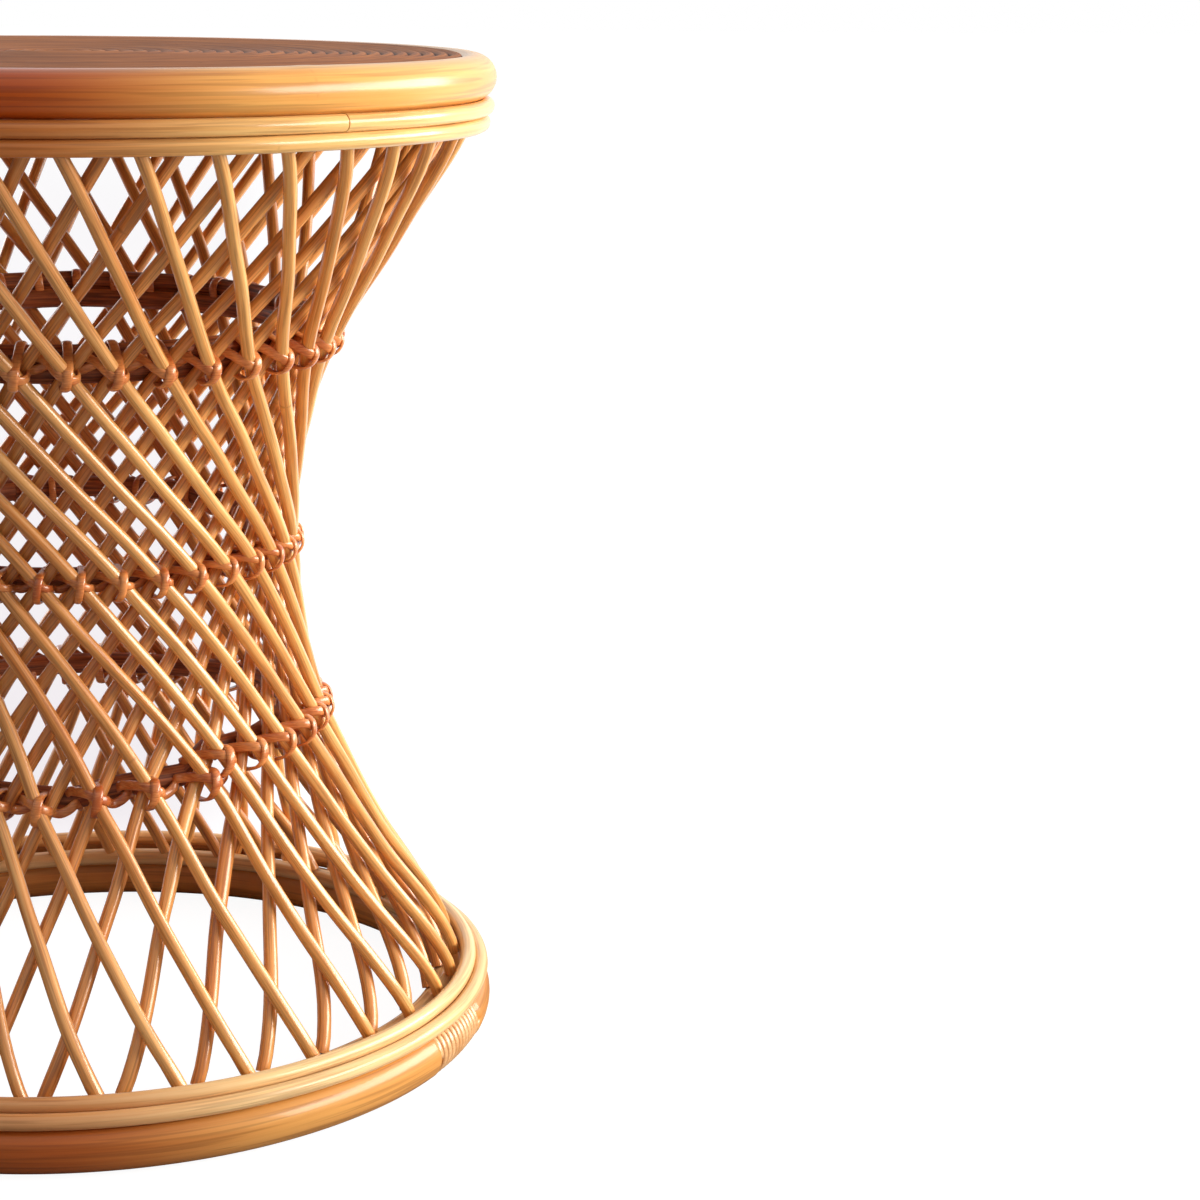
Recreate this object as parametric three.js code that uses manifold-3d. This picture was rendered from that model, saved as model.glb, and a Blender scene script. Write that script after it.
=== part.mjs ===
// Waisted drum stool of varnished round cane, built as it is made: a lattice of leaning stakes
// tied to three hoops, nailed between bands under a rim pole and on a base pole, with a coiled top.
// Millimetres, +Z up, origin on the floor at the centre of the base. The front faces -Y.
import * as THREE from 'three';
import Module from 'manifold-3d';

// Overall sizes
const overallHeight = 450;
const rimOuterRadius = 192.1;
const baseOuterRadius = 189.8;

// Round stock, all diameters
const rimPoleThickness = 19.8;
const rimBandThickness = 7.2;
const nailingRingThickness = 10;
const basePoleThickness = 22.6;
const baseBandThickness = 7.2;
const stakeThickness = 5.8;
const hoopThickness = 10;
const peelThickness = 1.5;
const coilCaneThickness = 5.45;
const bindingPeelThickness = 1.4;
const bindingPeelWidth = 3.1;

// How far each outer band's edge steps in from the pole's, and how far the inner band's centre lies in
// from the base pole's
const upperRimBandStep = 0.8;
const lowerRimBandStep = 2.7;
const lowerBaseBandStep = 0.9;
const upperBaseBandStep = 6.6;
const innerBaseBandInset = 10.9;

// The lattice: outer stakes turn one way going down, inner stakes the other way
const stakeCount = 36;
const firstStakeTurn = -1;
const upperHoopHeight = 322.5;
const waistHoopHeight = 230.5;
const lowerHoopHeight = 144.2;
const upperHoopStakeRadius = 118.5;
const waistHoopStakeRadius = 99.2;
const lowerHoopStakeRadius = 114.1;
const stakeEndTurn = 1.4;
const stakeTopRoom = 2.1;
const stakeFootRoom = 1.5;
const footSlope = 13.5;
const footBendRise = 7.2;
const tieHeight = 3.5;
const tieThickness = 2;

// How far round an outer stake goes from the rim to the upper hoop, and on to the waist hoop, the lower
// hoop and the bend above the base, and the same for an inner stake
const outerUpperTurn = 20.4;
const outerWaistTurn = 41.7;
const outerLowerTurn = 33.8;
const outerBaseTurn = 16.4;
const innerUpperTurn = 26.4;
const innerWaistTurn = 38.3;
const innerLowerTurn = 36.2;
const innerBaseTurn = 18.3;

// How far a stake bows out of the straight line between two rows, at mid span. From the waist to the lower
// hoop it is straight
const upperSpanBow = 2.2;
const waistSpanBow = 1.6;
const footSpanBow = -2.1;

// Flat top
const coilRecess = 1;
const coilGap = 0.6;
const coilJoinRadius = 28;
const seatBoardThickness = 8;

// Scarf joint of the base pole, bound with peel
const bindingLoops = 12;
const bindingGap = 0.75;
const bindingTurn = 62.2;

// Clearances between neighbouring pieces
const restClearance = 0.3;
const nailClearance = 0.6;
const footClearance = 0.8;
const crossingClearance = 0.8;

// Facets
const ringSteps = 36;
const coilSteps = 20;
const bindingSteps = 10;
const neckSteps = 4;
const outerStakeSides = 5;
const innerStakeSides = 4;

const degree = Math.PI / 180;
const half = (size) => size / 2;

// A place on the drum: turn is measured from the front, growing to the right as seen from the front
function place(radius, turn, height) {
  return new THREE.Vector3(radius * Math.sin(turn * degree), -radius * Math.cos(turn * degree), height);
}
const outward = (point) => new THREE.Vector3(point.x, point.y, 0).normalize();

// Sections, as points (out, up) round the path
function roundSection(radius, sides, turn = 0) {
  const points = [];
  for (let side = 0; side < sides; side += 1) {
    const angle = turn * degree + (side / sides) * 2 * Math.PI;
    points.push([radius * Math.cos(angle), radius * Math.sin(angle)]);
  }
  return points;
}

// A pole's section is round, with a narrow flat at its top and bottom to stand and be stood on.
// The flat reaches this many degrees to each side
const flatEdge = 15;
function poleSection(radius) {
  const points = [];
  for (const angle of [0, 38, 90 - flatEdge, 90 + flatEdge, 142, 180, 218, 270 - flatEdge, 270 + flatEdge, 322]) {
    const nearFlat = Math.abs(Math.abs(angle - 180) - 90) <= flatEdge;
    const reach = nearFlat ? radius / Math.cos(flatEdge * degree) : radius;
    points.push([reach * Math.cos(angle * degree), reach * Math.sin(angle * degree)]);
  }
  return points;
}

// Sweeps a section along points; outTo(point, index) gives the direction that the section calls out
function sweep(points, section, { closed = false, outTo = outward, scales = null } = {}) {
  const positions = [];
  const indices = [];
  const count = points.length;
  const sides = section.length;
  points.forEach((point, index) => {
    const before = points[closed ? (index + count - 1) % count : Math.max(index - 1, 0)];
    const after = points[closed ? (index + 1) % count : Math.min(index + 1, count - 1)];
    const along = after.clone().sub(before).normalize();
    const out = outTo(point, index).clone();
    out.addScaledVector(along, -out.dot(along)).normalize();
    const up = out.clone().cross(along);
    const scale = scales ? scales[index] : 1;
    for (const [u, v] of section) {
      const corner = point.clone().addScaledVector(out, u * scale).addScaledVector(up, v * scale);
      positions.push(corner.x, corner.y, corner.z);
    }
  });
  const rows = closed ? count : count - 1;
  for (let row = 0; row < rows; row += 1) {
    const next = (row + 1) % count;
    for (let side = 0; side < sides; side += 1) {
      const other = (side + 1) % sides;
      const [a, b] = [row * sides + side, row * sides + other];
      const [c, d] = [next * sides + other, next * sides + side];
      indices.push(a, b, c, a, c, d);
    }
  }
  if (!closed) {
    for (let side = 1; side < sides - 1; side += 1) {
      indices.push(0, side + 1, side);
      const last = (count - 1) * sides;
      indices.push(last, last + side, last + side + 1);
    }
  }
  return facingOut(positions, indices);
}

// Turns every face over if the closed surface was wound inside out
function facingOut(positions, indices) {
  let volume = 0;
  const corner = (index) => new THREE.Vector3().fromArray(positions, index * 3);
  for (let face = 0; face < indices.length; face += 3) {
    const [a, b, c] = [corner(indices[face]), corner(indices[face + 1]), corner(indices[face + 2])];
    volume += a.dot(b.cross(c));
  }
  if (volume < 0) {
    for (let face = 0; face < indices.length; face += 3) {
      [indices[face], indices[face + 1]] = [indices[face + 1], indices[face]];
    }
  }
  const geometry = new THREE.BufferGeometry();
  geometry.setAttribute('position', new THREE.Float32BufferAttribute(positions, 3));
  geometry.setIndex(indices);
  return geometry;
}

// A bent ring, whose corners start at a turn
function ring(radius, height, section, start = 0) {
  const points = [];
  for (let step = 0; step < ringSteps; step += 1) {
    points.push(place(radius, start + (step / ringSteps) * 360, height));
  }
  return sweep(points, section, { closed: true });
}

// The least gap between stretches of one tube that lie at least `apart` points from each other
function leastGap(points, thickness, apart) {
  let least = Infinity;
  for (let i = 0; i < points.length - 1; i += 1) {
    for (let j = i + apart; j < points.length - 1; j += 1) {
      const stretch = new THREE.Line3(points[j], points[j + 1]);
      const middle = points[i].clone().add(points[i + 1]).multiplyScalar(0.5);
      for (const point of [points[i], middle]) {
        const near = stretch.closestPointToPoint(point, true, new THREE.Vector3());
        least = Math.min(least, near.distanceTo(point) - thickness);
      }
    }
  }
  return least;
}

// Joins by union
const wasm = await Module();
wasm.setup();
function solidOf(geometry) {
  return new wasm.Manifold(new wasm.Mesh({
    numProp: 3,
    vertProperties: new Float32Array(geometry.getAttribute('position').array),
    triVerts: new Uint32Array(geometry.getIndex().array),
  }));
}
function joined(...geometries) {
  const mesh = geometries.map(solidOf).reduce((whole, piece) => whole.add(piece)).getMesh();
  const geometry = new THREE.BufferGeometry();
  geometry.setAttribute('position', new THREE.BufferAttribute(new Float32Array(mesh.vertProperties), 3));
  geometry.setIndex(new THREE.BufferAttribute(new Uint32Array(mesh.triVerts), 1));
  return geometry;
}

// Finishes
const finish = (color, roughness) => new THREE.MeshStandardMaterial({ color, roughness, metalness: 0 });
const varnishedCane = finish('#d6944c', 0.35);
const paleInnerCane = finish('#c98746', 0.4);
const rimCane = finish('#cf8f4c', 0.32);
const baseCane = finish('#bf7a3e', 0.35);
const darkHoopCane = finish('#553019', 0.8);
const redPeel = finish('#a9592f', 0.4);
const coilCane = finish('#9c7058', 0.45);
const plywood = finish('#c4a074', 0.8);

const stool = new THREE.Group();
function add(name, geometry, material) {
  geometry.computeVertexNormals();
  const mesh = new THREE.Mesh(geometry, material);
  mesh.name = name;
  stool.add(mesh);
  return mesh;
}

// Height of a band that lies against a pole or another band, above it (+1) or below it (-1)
function heightAgainst(other, otherThickness, radius, thickness, side) {
  const reach = half(otherThickness) + half(thickness) + restClearance;
  const step = other.radius - radius;
  return other.height + side * Math.sqrt(reach * reach - step * step);
}

// Top edge: the rim pole, and two bands nailed under it outside the stakes
const rimPole = {
  radius: rimOuterRadius - half(rimPoleThickness),
  height: overallHeight - half(rimPoleThickness),
};
add('rim_pole', ring(rimPole.radius, rimPole.height, poleSection(half(rimPoleThickness))), rimCane);
const bandSection = roundSection(half(rimBandThickness), 5);
const upperRimBand = { radius: rimOuterRadius - upperRimBandStep - half(rimBandThickness) };
upperRimBand.height = heightAgainst(rimPole, rimPoleThickness, upperRimBand.radius, rimBandThickness, -1);
const lowerRimBand = { radius: rimOuterRadius - lowerRimBandStep - half(rimBandThickness) };
lowerRimBand.height = heightAgainst(upperRimBand, rimBandThickness, lowerRimBand.radius, rimBandThickness, -1);
add('upper_rim_band', ring(upperRimBand.radius, upperRimBand.height, bandSection), rimCane);
add('lower_rim_band', ring(lowerRimBand.radius, lowerRimBand.height, bandSection), rimCane);

// Base: the standing pole, with two bands above it outside the stakes
const basePole = { radius: baseOuterRadius - half(basePoleThickness), height: half(basePoleThickness) };
const baseBandSection = roundSection(half(baseBandThickness), 5);
const lowerBaseBand = { radius: baseOuterRadius - lowerBaseBandStep - half(baseBandThickness) };
lowerBaseBand.height = heightAgainst(basePole, basePoleThickness, lowerBaseBand.radius, baseBandThickness, 1);
const upperBaseBand = { radius: baseOuterRadius - upperBaseBandStep - half(baseBandThickness) };
upperBaseBand.height = heightAgainst(lowerBaseBand, baseBandThickness, upperBaseBand.radius, baseBandThickness, 1);
add('lower_base_band', ring(lowerBaseBand.radius, lowerBaseBand.height, baseBandSection), baseCane);
add('upper_base_band', ring(upperBaseBand.radius, upperBaseBand.height, baseBandSection), baseCane);

// A third band lies on the pole's inner shoulder, and the stakes stand on it
const innerBaseBand = { radius: basePole.radius - innerBaseBandInset };
innerBaseBand.height = heightAgainst(basePole, basePoleThickness, innerBaseBand.radius, baseBandThickness, 1);
const hiddenBandSection = roundSection(half(baseBandThickness), 4);
add('inner_base_band', ring(innerBaseBand.radius, innerBaseBand.height, hiddenBandSection), baseCane);

// Below its last bend a stake leans out at the foot slope and passes inside the upper base band
function besideBaseBand(height) {
  const slope = footSlope * degree;
  const reach = (half(baseBandThickness) + half(stakeThickness) + footClearance) / Math.cos(slope);
  return upperBaseBand.radius - reach - (height - upperBaseBand.height) * Math.tan(slope);
}

// Stations of an outer stake from top to foot: radius and height of its centre line
const insideRim = (band) => band.radius - half(rimBandThickness) - nailClearance - half(stakeThickness);
const bendHeight = upperBaseBand.height + footBendRise;
const footHeight = innerBaseBand.height + half(baseBandThickness) + stakeFootRoom;
const rows = {
  end: { radius: insideRim(upperRimBand), height: overallHeight - rimPoleThickness - stakeTopRoom },
  top: { radius: insideRim(lowerRimBand), height: lowerRimBand.height },
  upper: { radius: upperHoopStakeRadius, height: upperHoopHeight },
  waist: { radius: waistHoopStakeRadius, height: waistHoopHeight },
  lower: { radius: lowerHoopStakeRadius, height: lowerHoopHeight },
  bend: { radius: besideBaseBand(bendHeight), height: bendHeight },
  foot: { radius: besideBaseBand(footHeight), height: footHeight },
};

// Middle of the straight line between two rows, bowed by a small amount
function midSpan(from, to, fromTurn, toTurn, bow) {
  const a = place(from.radius, fromTurn, from.height);
  const middle = a.add(place(to.radius, toTurn, to.height)).multiplyScalar(0.5);
  const turn = Math.atan2(middle.x, -middle.y) / degree;
  return { radius: Math.hypot(middle.x, middle.y) + bow, height: middle.z, turn };
}

// Centre line of a stake that turns by so much from row to row, the way given by `sense`
function stationsOf([upperTurn, waistTurn, lowerTurn, baseTurn], sense) {
  const top = 0;
  const upper = top + upperTurn;
  const waist = upper + waistTurn;
  const lower = waist + lowerTurn;
  const bend = lower + baseTurn;
  const upperSpan = midSpan(rows.top, rows.upper, top, upper, upperSpanBow);
  const waistSpan = midSpan(rows.upper, rows.waist, upper, waist, waistSpanBow);
  const footSpan = midSpan(rows.lower, rows.bend, lower, bend, footSpanBow);
  const unwound = (span, from) => ({
    ...span,
    turn: from + THREE.MathUtils.euclideanModulo(span.turn - from + 180, 360) - 180,
  });
  const atRow = (row, turn) => ({ row, ...rows[row], turn });
  return [
    atRow('end', top - stakeEndTurn),
    atRow('top', top),
    unwound(upperSpan, top),
    atRow('upper', upper),
    unwound(waistSpan, upper),
    atRow('waist', waist),
    atRow('lower', lower),
    unwound(footSpan, lower),
    atRow('bend', bend),
    atRow('foot', bend + stakeEndTurn),
  ].map((station) => ({ ...station, turn: station.turn * sense }));
}

// The drum's slope at each station, as the cosine that turns a distance square to the wall
// into one along the radius
const outerStations = stationsOf([outerUpperTurn, outerWaistTurn, outerLowerTurn, outerBaseTurn], 1);
const wallCosines = outerStations.map((station, index) => {
  const above = outerStations[Math.max(index - 1, 0)];
  const below = outerStations[Math.min(index + 1, outerStations.length - 1)];
  return Math.cos(Math.atan2(above.radius - below.radius, above.height - below.height));
});
const innerTurns = [innerUpperTurn, innerWaistTurn, innerLowerTurn, innerBaseTurn];
const innerStations = stationsOf(innerTurns, -1).map((station, index) => ({
  ...station,
  radius: outerStations[index].radius - (stakeThickness + crossingClearance) / wallCosines[index],
}));
const indexOf = (row) => outerStations.findIndex((station) => station.row === row);

// Both families cross on the hoop rows, so the inner stakes start where that makes them meet
const stakePitch = 360 / stakeCount;
const outerStart = firstStakeTurn;
const innerStart = firstStakeTurn + outerUpperTurn + innerUpperTurn;

// A stake's centre at a height between two stations
function centreAt(stations, from, height) {
  const [a, b] = [stations[from - 1], stations[from]];
  const share = (height - b.height) / (a.height - b.height);
  const start = place(b.radius, b.turn, b.height);
  return start.lerp(place(a.radius, a.turn, a.height), share);
}

// Two neighbouring stakes, held together by the stretch of peel that runs between them at the waist
function stakePair(stations, start, first, sides) {
  const section = roundSection(half(stakeThickness), sides);
  const turnOf = (index) => start + index * stakePitch;
  const stake = (index) => sweep(
    stations.map(({ radius, turn, height }) => place(radius, turn + turnOf(index), height)),
    section,
  );
  const tieEnd = (index) => centreAt(stations, indexOf('waist'), waistHoopHeight + tieHeight)
    .applyAxisAngle(new THREE.Vector3(0, 0, 1), turnOf(index) * degree);
  const tie = sweep([tieEnd(first), tieEnd(first + 1)], roundSection(half(tieThickness), 4));
  return joined(stake(first), stake(first + 1), tie);
}
for (let pair = 0; pair < stakeCount / 2; pair += 1) {
  const label = String(pair + 1).padStart(2, '0');
  add(`outer_stake_pair_${label}`, stakePair(outerStations, outerStart, 2 * pair, outerStakeSides), varnishedCane);
  add(`inner_stake_pair_${label}`, stakePair(innerStations, innerStart, 2 * pair, innerStakeSides), paleInnerCane);
}

// Radius of a ring that lies against the inner stakes, and the turn at which it meets the first one.
// The height lies between a station and the one above it
function againstStakes(index, height, thickness, clearance) {
  const centre = centreAt(innerStations, index, height);
  const stakeReach = half(stakeThickness) / wallCosines[index];
  return {
    radius: Math.hypot(centre.x, centre.y) - stakeReach - clearance - half(thickness),
    turn: innerStart + Math.atan2(centre.x, -centre.y) / degree,
  };
}

// Three hoops inside the stakes, one at each row of crossings
const hoopSection = roundSection(half(hoopThickness), 4);
function addHoop(row) {
  const index = indexOf(row);
  const { height } = outerStations[index];
  const { radius, turn } = againstStakes(index, height, hoopThickness, nailClearance);
  add(`${row}_hoop`, ring(radius, height, hoopSection, turn), darkHoopCane);
  return radius;
}
const hoopRadii = { upper: addHoop('upper'), waist: addHoop('waist'), lower: addHoop('lower') };

// Peel lashing of a row, in two lengths: over each outer stake, and in to the hoop between stakes
function lashing(row, firstStake, count) {
  const index = indexOf(row);
  const { radius, height } = outerStations[index];
  const cosine = wallCosines[index];
  const room = restClearance + half(peelThickness);
  const overRadius = radius + (half(stakeThickness) + room) / cosine;
  const hoopOuter = hoopRadii[row] + half(hoopThickness) + room;
  const sideways = outerStations[index + 1].turn - outerStations[index - 1].turn;
  const fall = outerStations[index - 1].height - outerStations[index + 1].height;
  const lean = Math.atan2(sideways * degree * radius, fall);
  const overTurn = (half(stakeThickness) / Math.cos(lean) + half(peelThickness)) / radius / degree;
  const points = [];
  for (let knot = 0; knot < count; knot += 1) {
    const turn = outerStart + outerStations[index].turn + (firstStake + knot) * stakePitch;
    points.push(place(overRadius, turn - overTurn, height));
    points.push(place(overRadius, turn + overTurn, height));
    if (knot < count - 1) points.push(place(hoopOuter, turn + half(stakePitch), height));
  }
  const upright = () => new THREE.Vector3(0, 0, 1);
  console.log('lashing least gap to itself', leastGap(points, peelThickness, 3).toFixed(2));
  return sweep(points, roundSection(half(peelThickness), 3), { outTo: upright });
}
for (const row of ['upper', 'waist', 'lower']) {
  const knots = half(stakeCount);
  add(`${row}_lashing_front`, lashing(row, 0, knots), redPeel);
  add(`${row}_lashing_back`, lashing(row, knots, knots), redPeel);
}

// Flat top: a spiral of thin cane on a board, with the board on a square lath nailed inside the stakes
const rimBore = (rimPole.radius - half(rimPoleThickness)) * Math.cos(Math.PI / ringSteps);
const coilHeight = overallHeight - coilRecess - half(coilCaneThickness);
const boardTop = coilHeight - half(coilCaneThickness) - restClearance;
const boardRadius = rimBore - nailClearance;
const boardProfile = [
  new THREE.Vector2(0, 0),
  new THREE.Vector2(boardRadius, 0),
  new THREE.Vector2(boardRadius, seatBoardThickness),
  new THREE.Vector2(0, seatBoardThickness),
];
const board = new THREE.LatheGeometry(boardProfile, ringSteps);
board.rotateX(Math.PI / 2);
board.translate(0, 0, boardTop - seatBoardThickness);
add('seat_board', board, plywood);
const nailingRingTop = boardTop - seatBoardThickness - restClearance;
const nailingRingBottom = nailingRingTop - nailingRingThickness;
const nailingSeat = againstStakes(indexOf('top'), nailingRingBottom, nailingRingThickness, restClearance);
const squareSection = roundSection(half(nailingRingThickness) * Math.SQRT2, 4, 45);
const nailingRingHeight = nailingRingTop - half(nailingRingThickness);
const nailingRing = ring(nailingSeat.radius, nailingRingHeight, squareSection, nailingSeat.turn);
add('inner_nailing_ring', nailingRing, rimCane);

// The spiral is wound from two lengths of cane: a long one from the rim, a short one at the centre
const coilPitch = coilCaneThickness + coilGap;
const coilOuterRadius = rimBore - nailClearance - half(coilCaneThickness);
const coilLoops = Math.floor((coilOuterRadius - coilJoinRadius) / coilPitch);
function spiral(fromLoop, toLoop) {
  const loops = [fromLoop];
  for (let step = Math.floor(fromLoop * coilSteps) + 1; step <= toLoop * coilSteps; step += 1) {
    loops.push(step / coilSteps);
  }
  return loops.map((loop) => place(coilOuterRadius - loop * coilPitch, loop * 360, coilHeight));
}
const coilSection = roundSection(half(coilCaneThickness), 4);
function addSpiral(name, fromLoop, toLoop) {
  const points = spiral(fromLoop, toLoop);
  console.log(`${name} least gap to itself`, leastGap(points, coilCaneThickness, coilSteps / 2).toFixed(2));
  add(name, sweep(points, coilSection), coilCane);
}
const endRadius = coilOuterRadius - coilLoops * coilPitch;
const capSpread = coilCaneThickness * Math.tan(Math.PI / coilSteps);
const buttGap = (restClearance + capSpread) / (2 * Math.PI * endRadius);
const heartRadius = half(coilCaneThickness) + coilGap;
const heartLoop = (coilOuterRadius - heartRadius) / coilPitch;
addSpiral('seat_coil', 0, coilLoops);
addSpiral('seat_centre_coil', coilLoops + buttGap, heartLoop);

// Base pole, planed down over its scarf joint so that the binding lies flush
const bindingPitch = bindingPeelWidth + bindingGap;
const bindingLength = bindingLoops * bindingPitch;
const bindingLoopRadius = half(basePoleThickness) - half(bindingPeelThickness) - restClearance;
const bindingBore = (bindingLoopRadius - half(bindingPeelThickness)) * Math.cos(Math.PI / bindingSteps);
const neckRadius = (bindingBore - restClearance) * Math.cos(flatEdge * degree);
const bindingSpan = bindingLength / basePole.radius / degree;
const neckSpan = bindingSpan + (2 * bindingPitch) / basePole.radius / degree;
const shoulderSpan = bindingPeelThickness / basePole.radius / degree;
const neckScale = neckRadius / half(basePoleThickness);
const neckFrom = bindingTurn - half(neckSpan);
const neckTo = bindingTurn + half(neckSpan);
const poleTurns = [
  { turn: neckFrom - shoulderSpan, scale: 1 },
  { turn: neckTo + shoulderSpan, scale: 1 },
];
for (let step = 0; step <= neckSteps; step += 1) {
  poleTurns.push({ turn: neckFrom + (step / neckSteps) * neckSpan, scale: neckScale });
}
for (let step = 0; step < ringSteps; step += 1) {
  const turn = (step / ringSteps) * 360;
  const clearOfNeck = turn < neckFrom - 2 * shoulderSpan || turn > neckTo + 2 * shoulderSpan;
  if (clearOfNeck) poleTurns.push({ turn, scale: 1 });
}
poleTurns.sort((a, b) => a.turn - b.turn);
const basePoleGeometry = sweep(
  poleTurns.map(({ turn }) => place(basePole.radius, turn, basePole.height)),
  poleSection(half(basePoleThickness)),
  { closed: true, scales: poleTurns.map(({ scale }) => scale) },
);
add('base_pole', basePoleGeometry, baseCane);

// Binding of the scarf joint: loops of flat peel round the planed part
const bindingPoints = [];
const bindingOut = [];
for (let step = 0; step <= bindingLoops * bindingSteps; step += 1) {
  const loop = step / bindingSteps;
  const turn = bindingTurn - half(bindingSpan) + (loop / bindingLoops) * bindingSpan;
  const angle = loop * 2 * Math.PI;
  const centre = place(basePole.radius, turn, basePole.height);
  const out = outward(centre).multiplyScalar(Math.cos(angle));
  out.z = Math.sin(angle);
  bindingOut.push(out);
  bindingPoints.push(centre.clone().addScaledVector(out, bindingLoopRadius));
}
const bindingSection = [
  [half(bindingPeelThickness), -half(bindingPeelWidth)],
  [half(bindingPeelThickness), half(bindingPeelWidth)],
  [-half(bindingPeelThickness), half(bindingPeelWidth)],
  [-half(bindingPeelThickness), -half(bindingPeelWidth)],
];
console.log(
  'binding least gap to itself',
  leastGap(bindingPoints, bindingPeelWidth, bindingSteps / 2).toFixed(2),
);
add(
  'base_joint_binding',
  sweep(bindingPoints, bindingSection, { outTo: (_, index) => bindingOut[index] }),
  redPeel,
);

export default stool;
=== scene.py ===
"""The looks of a waisted drum stool of varnished cane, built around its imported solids.

Metres, +Z up, the front faces -Y. A turn is measured in degrees from the front, growing to the right.
"""
import math

import bpy
from mathutils import Matrix, Vector


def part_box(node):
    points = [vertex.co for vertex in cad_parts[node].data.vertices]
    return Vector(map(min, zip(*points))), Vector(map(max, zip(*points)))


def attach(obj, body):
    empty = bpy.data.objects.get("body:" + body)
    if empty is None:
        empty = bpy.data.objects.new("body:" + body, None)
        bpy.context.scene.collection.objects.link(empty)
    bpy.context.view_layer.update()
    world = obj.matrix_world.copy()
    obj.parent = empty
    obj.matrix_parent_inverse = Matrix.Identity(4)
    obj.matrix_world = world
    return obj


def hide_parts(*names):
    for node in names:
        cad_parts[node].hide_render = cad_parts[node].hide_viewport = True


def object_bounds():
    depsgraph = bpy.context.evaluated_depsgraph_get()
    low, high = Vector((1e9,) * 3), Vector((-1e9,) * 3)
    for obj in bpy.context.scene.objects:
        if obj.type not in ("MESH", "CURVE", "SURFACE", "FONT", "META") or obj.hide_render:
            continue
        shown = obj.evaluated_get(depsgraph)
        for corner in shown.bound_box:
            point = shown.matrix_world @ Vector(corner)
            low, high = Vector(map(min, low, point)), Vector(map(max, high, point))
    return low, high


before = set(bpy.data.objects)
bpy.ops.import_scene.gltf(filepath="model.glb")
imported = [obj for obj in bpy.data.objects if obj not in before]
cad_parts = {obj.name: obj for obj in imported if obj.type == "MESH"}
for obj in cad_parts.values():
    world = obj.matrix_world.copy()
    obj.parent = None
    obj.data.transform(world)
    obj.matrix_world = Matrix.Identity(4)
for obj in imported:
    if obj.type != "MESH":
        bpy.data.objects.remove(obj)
cad_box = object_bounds()

# Rim pole
# A thick varnished cane, bent to a ring by steam and closed with a joint at the back. Its skin is left on,
# so it keeps its growth nodes, faint streaks along the grain and a clear gloss.
rim_pole_thickness = 0.0198
rim_pole_node_spacing = 0.31
joint_gap = 0.0004
ring_steps = 288
ring_drift_scale = 9.0
# Painted shade: canes are deepened to this amber on the side away from the window, centred on this turn
amber = "#c6741c"
amber_turn = -45.0


def node(tree, kind, links=None, **settings):
    """Adds a node with its settings, and feeds its inputs with values, sockets or nodes' first outputs."""
    made = tree.nodes.new(kind)
    for key, value in settings.items():
        setattr(made, key, value)
    for name, value in (links or {}).items():
        source = value.outputs[0] if isinstance(value, bpy.types.Node) else value
        if isinstance(source, bpy.types.NodeSocket):
            tree.links.new(source, made.inputs[name])
        else:
            made.inputs[name].default_value = source
    return made


def linear(code):
    """An sRGB hex colour as a linear one."""
    channels = [int(code[i:i + 2], 16) / 255 for i in (1, 3, 5)]
    return [c / 12.92 if c <= 0.04045 else ((c + 0.055) / 1.055) ** 2.4 for c in channels] + [1.0]


def ring_place(name, thickness):
    """Radius and height of the centre line of a ring, from the corners of its solid."""
    low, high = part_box(name)
    return {"Radius": high[0] - thickness / 2, "Height": (low[2] + high[2]) / 2, "Thickness": thickness}


def new_tree(name, sizes, counts, shape=False):
    """A Geometry Nodes tree with named inputs and a material; returns it with its inputs."""
    tree = bpy.data.node_groups.new(name, "GeometryNodeTree")
    kinds = {"Geometry": "Geometry"} if shape else {}
    kinds |= {label: "Float" for label in sizes} | {label: "Int" for label in counts}
    for label, kind in (kinds | {"Material": "Material"}).items():
        tree.interface.new_socket(name=label, in_out="INPUT", socket_type="NodeSocket" + kind)
    tree.interface.new_socket(name="Geometry", in_out="OUTPUT", socket_type="NodeSocketGeometry")
    return tree, node(tree, "NodeGroupInput").outputs


def end_tree(tree, geometry, material):
    """Ends a tree in one realised, smooth, finished geometry."""
    real = node(tree, "GeometryNodeRealizeInstances", {"Geometry": geometry})
    smooth = node(tree, "GeometryNodeSetShadeSmooth", {"Geometry": real})
    dressed = node(tree, "GeometryNodeSetMaterial", {"Geometry": smooth, "Material": material})
    node(tree, "NodeGroupOutput", {"Geometry": dressed})


def placed(name, data):
    """A new object at the origin."""
    made = bpy.data.objects.new(name, data)
    bpy.context.scene.collection.objects.link(made)
    return made


def grow(name, tree, values, mesh=None):
    """Runs a tree on a mesh and keeps the result as a plain object at the origin."""
    piece = placed(name, mesh or bpy.data.meshes.new(name))
    modifier = piece.modifiers.new("grow", "NODES")
    modifier.node_group = tree
    for item in tree.interface.items_tree:
        if item.in_out == "INPUT" and item.name in values:
            modifier[item.identifier] = values[item.name]
    bpy.context.view_layer.update()
    evaluated = piece.evaluated_get(bpy.context.evaluated_depsgraph_get())
    grown = bpy.data.meshes.new_from_object(evaluated)
    piece.modifiers.clear()
    piece.data = grown
    grown.name = name
    return piece


def finished(piece, slot, *nodes):
    """Hides the solids that a piece stands for and attaches the piece to the one body; slot is not used."""
    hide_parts(*nodes)
    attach(piece, "root")


def drift(tree, amount, scale):
    """A slow, small offset of the cane from its rule, the same wherever two canes meet."""
    position = node(tree, "GeometryNodeInputPosition")
    noise = node(tree, "ShaderNodeTexNoise", {"Vector": position, "Scale": scale, "Detail": 1.0})
    middle = node(tree, "ShaderNodeVectorMath", {0: noise.outputs["Color"], 1: (0.5, 0.5, 0.5)},
                  operation="SUBTRACT")
    return node(tree, "ShaderNodeVectorMath", {0: middle, "Scale": amount}, operation="SCALE")


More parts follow.
